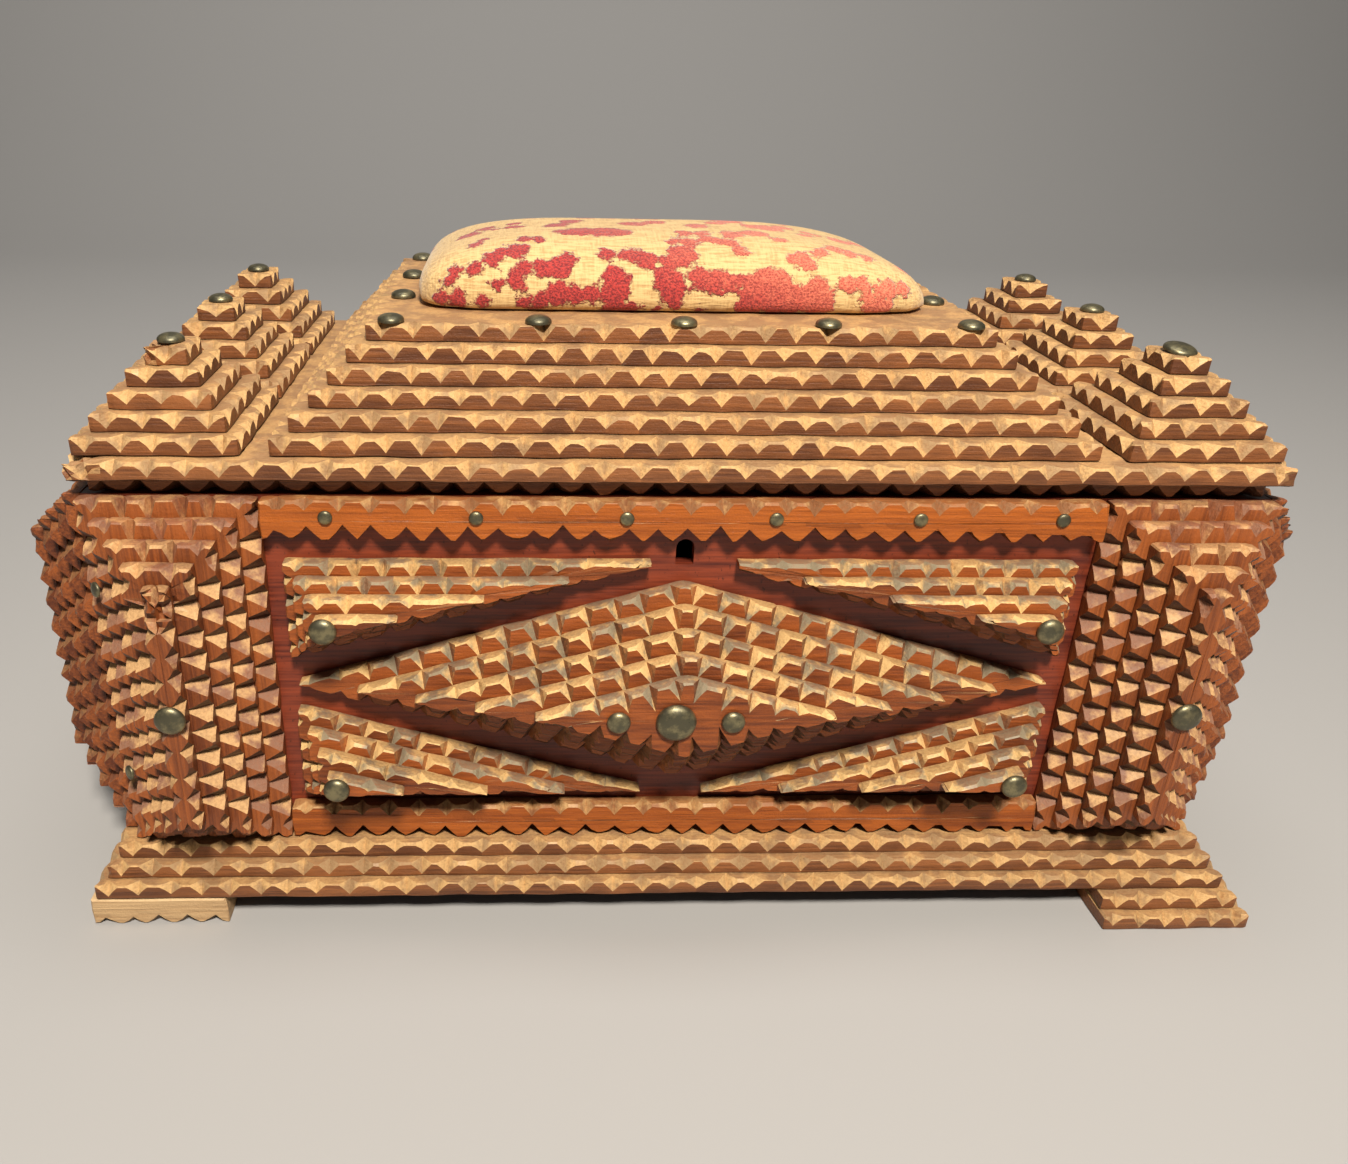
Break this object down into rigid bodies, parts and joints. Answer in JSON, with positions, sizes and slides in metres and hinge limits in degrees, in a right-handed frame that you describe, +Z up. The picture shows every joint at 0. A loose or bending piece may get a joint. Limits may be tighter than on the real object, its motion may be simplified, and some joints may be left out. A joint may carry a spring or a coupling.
{
  "type": "tramp art box",
  "caption": "Hollow wooden keepsake box with chip-carved stepped pyramids, a rhombus and triangles, four feet, and a hinged stepped lid that carries a pincushion.",
  "frame": {"origin": "on the floor, under the middle of the box's bounding box", "axes": "+Z up, +X to the right along the long front, -Y towards the viewer, so the carved front with the keyhole faces -Y and the hinges are at +Y"},
  "size_m": [0.4018, 0.2132, 0.2096],
  "materials": {
    "carved_wood": "old amber varnish, dusty in the cuts",
    "pale_wood": "bare pale wood, worn",
    "panel_wood": "dark red mahogany, old varnish with fine cracks",
    "case_wood": "plain cigar-box wood, thin varnish",
    "front_wood": "orange-brown varnish, worn on the arrises",
    "lid_wood": "faded tan varnish, dusty and worn at the corners",
    "cushion_cloth": "linen ground with worn crimson plush leaves",
    "tack_brass": "dull aged brass, greenish brown",
    "lid_tack_brass": "dull aged brass, greenish brown",
    "hinge_brass": "plain aged brass",
    "lid_hinge_brass": "plain aged brass"
  },
  "bodies": {
    "case": {"foot_front_right": "carved_wood", "foot_back_right": "carved_wood", "foot_back_left": "carved_wood", "base": "carved_wood", "foot_front_left": "pale_wood", "case_front": "panel_wood", "case_back": "case_wood", "case_left": "case_wood", "case_right": "case_wood", "case_bottom": "case_wood", "front_rail_top": "front_wood", "front_rail_bottom": "front_wood", "rhombus": "front_wood", "triangle_upper_left": "front_wood", "triangle_upper_right": "front_wood", "triangle_lower_left": "front_wood", "triangle_lower_right": "front_wood", "front_pyramid_left": "front_wood", "front_pyramid_right": "front_wood", "end_pyramid_left": "front_wood", "end_pyramid_right": "front_wood", "tack_pyramid_left": "tack_brass", "tack_pyramid_right": "tack_brass", "tack_upper_left": "tack_brass", "tack_upper_right": "tack_brass", "tack_lower_left": "tack_brass", "tack_lower_right": "tack_brass", "tack_rhombus_left": "tack_brass", "tack_rhombus_middle": "tack_brass", "tack_rhombus_right": "tack_brass", "hinge_left_case": "hinge_brass", "hinge_right_case": "hinge_brass"},
    "lid": {"lid_board": "lid_wood", "lid_rim": "lid_wood", "mound": "lid_wood", "lid_pyramid_left_1": "lid_wood", "lid_pyramid_left_2": "lid_wood", "lid_pyramid_left_3": "lid_wood", "lid_pyramid_right_1": "lid_wood", "lid_pyramid_right_2": "lid_wood", "lid_pyramid_right_3": "lid_wood", "cushion": "cushion_cloth", "tack_apex_left_1": "lid_tack_brass", "tack_apex_left_2": "lid_tack_brass", "tack_apex_left_3": "lid_tack_brass", "tack_apex_right_1": "lid_tack_brass", "tack_apex_right_2": "lid_tack_brass", "tack_apex_right_3": "lid_tack_brass", "tack_mound_front_1": "lid_tack_brass", "tack_mound_front_2": "lid_tack_brass", "tack_mound_front_3": "lid_tack_brass", "tack_mound_front_4": "lid_tack_brass", "tack_mound_front_5": "lid_tack_brass", "tack_mound_left_1": "lid_tack_brass", "tack_mound_left_2": "lid_tack_brass", "tack_mound_right_1": "lid_tack_brass", "tack_mound_right_2": "lid_tack_brass", "hinge_left_lid": "lid_hinge_brass", "hinge_right_lid": "lid_hinge_brass"}
  },
  "joints": [
    {"name": "lid_hinge", "type": "hinge", "parent": "case", "child": "lid", "pos_m": [0, 0.1041, 0.14525], "axis": [-1, 0, 0], "range_deg": [0, 95]}
  ]
}
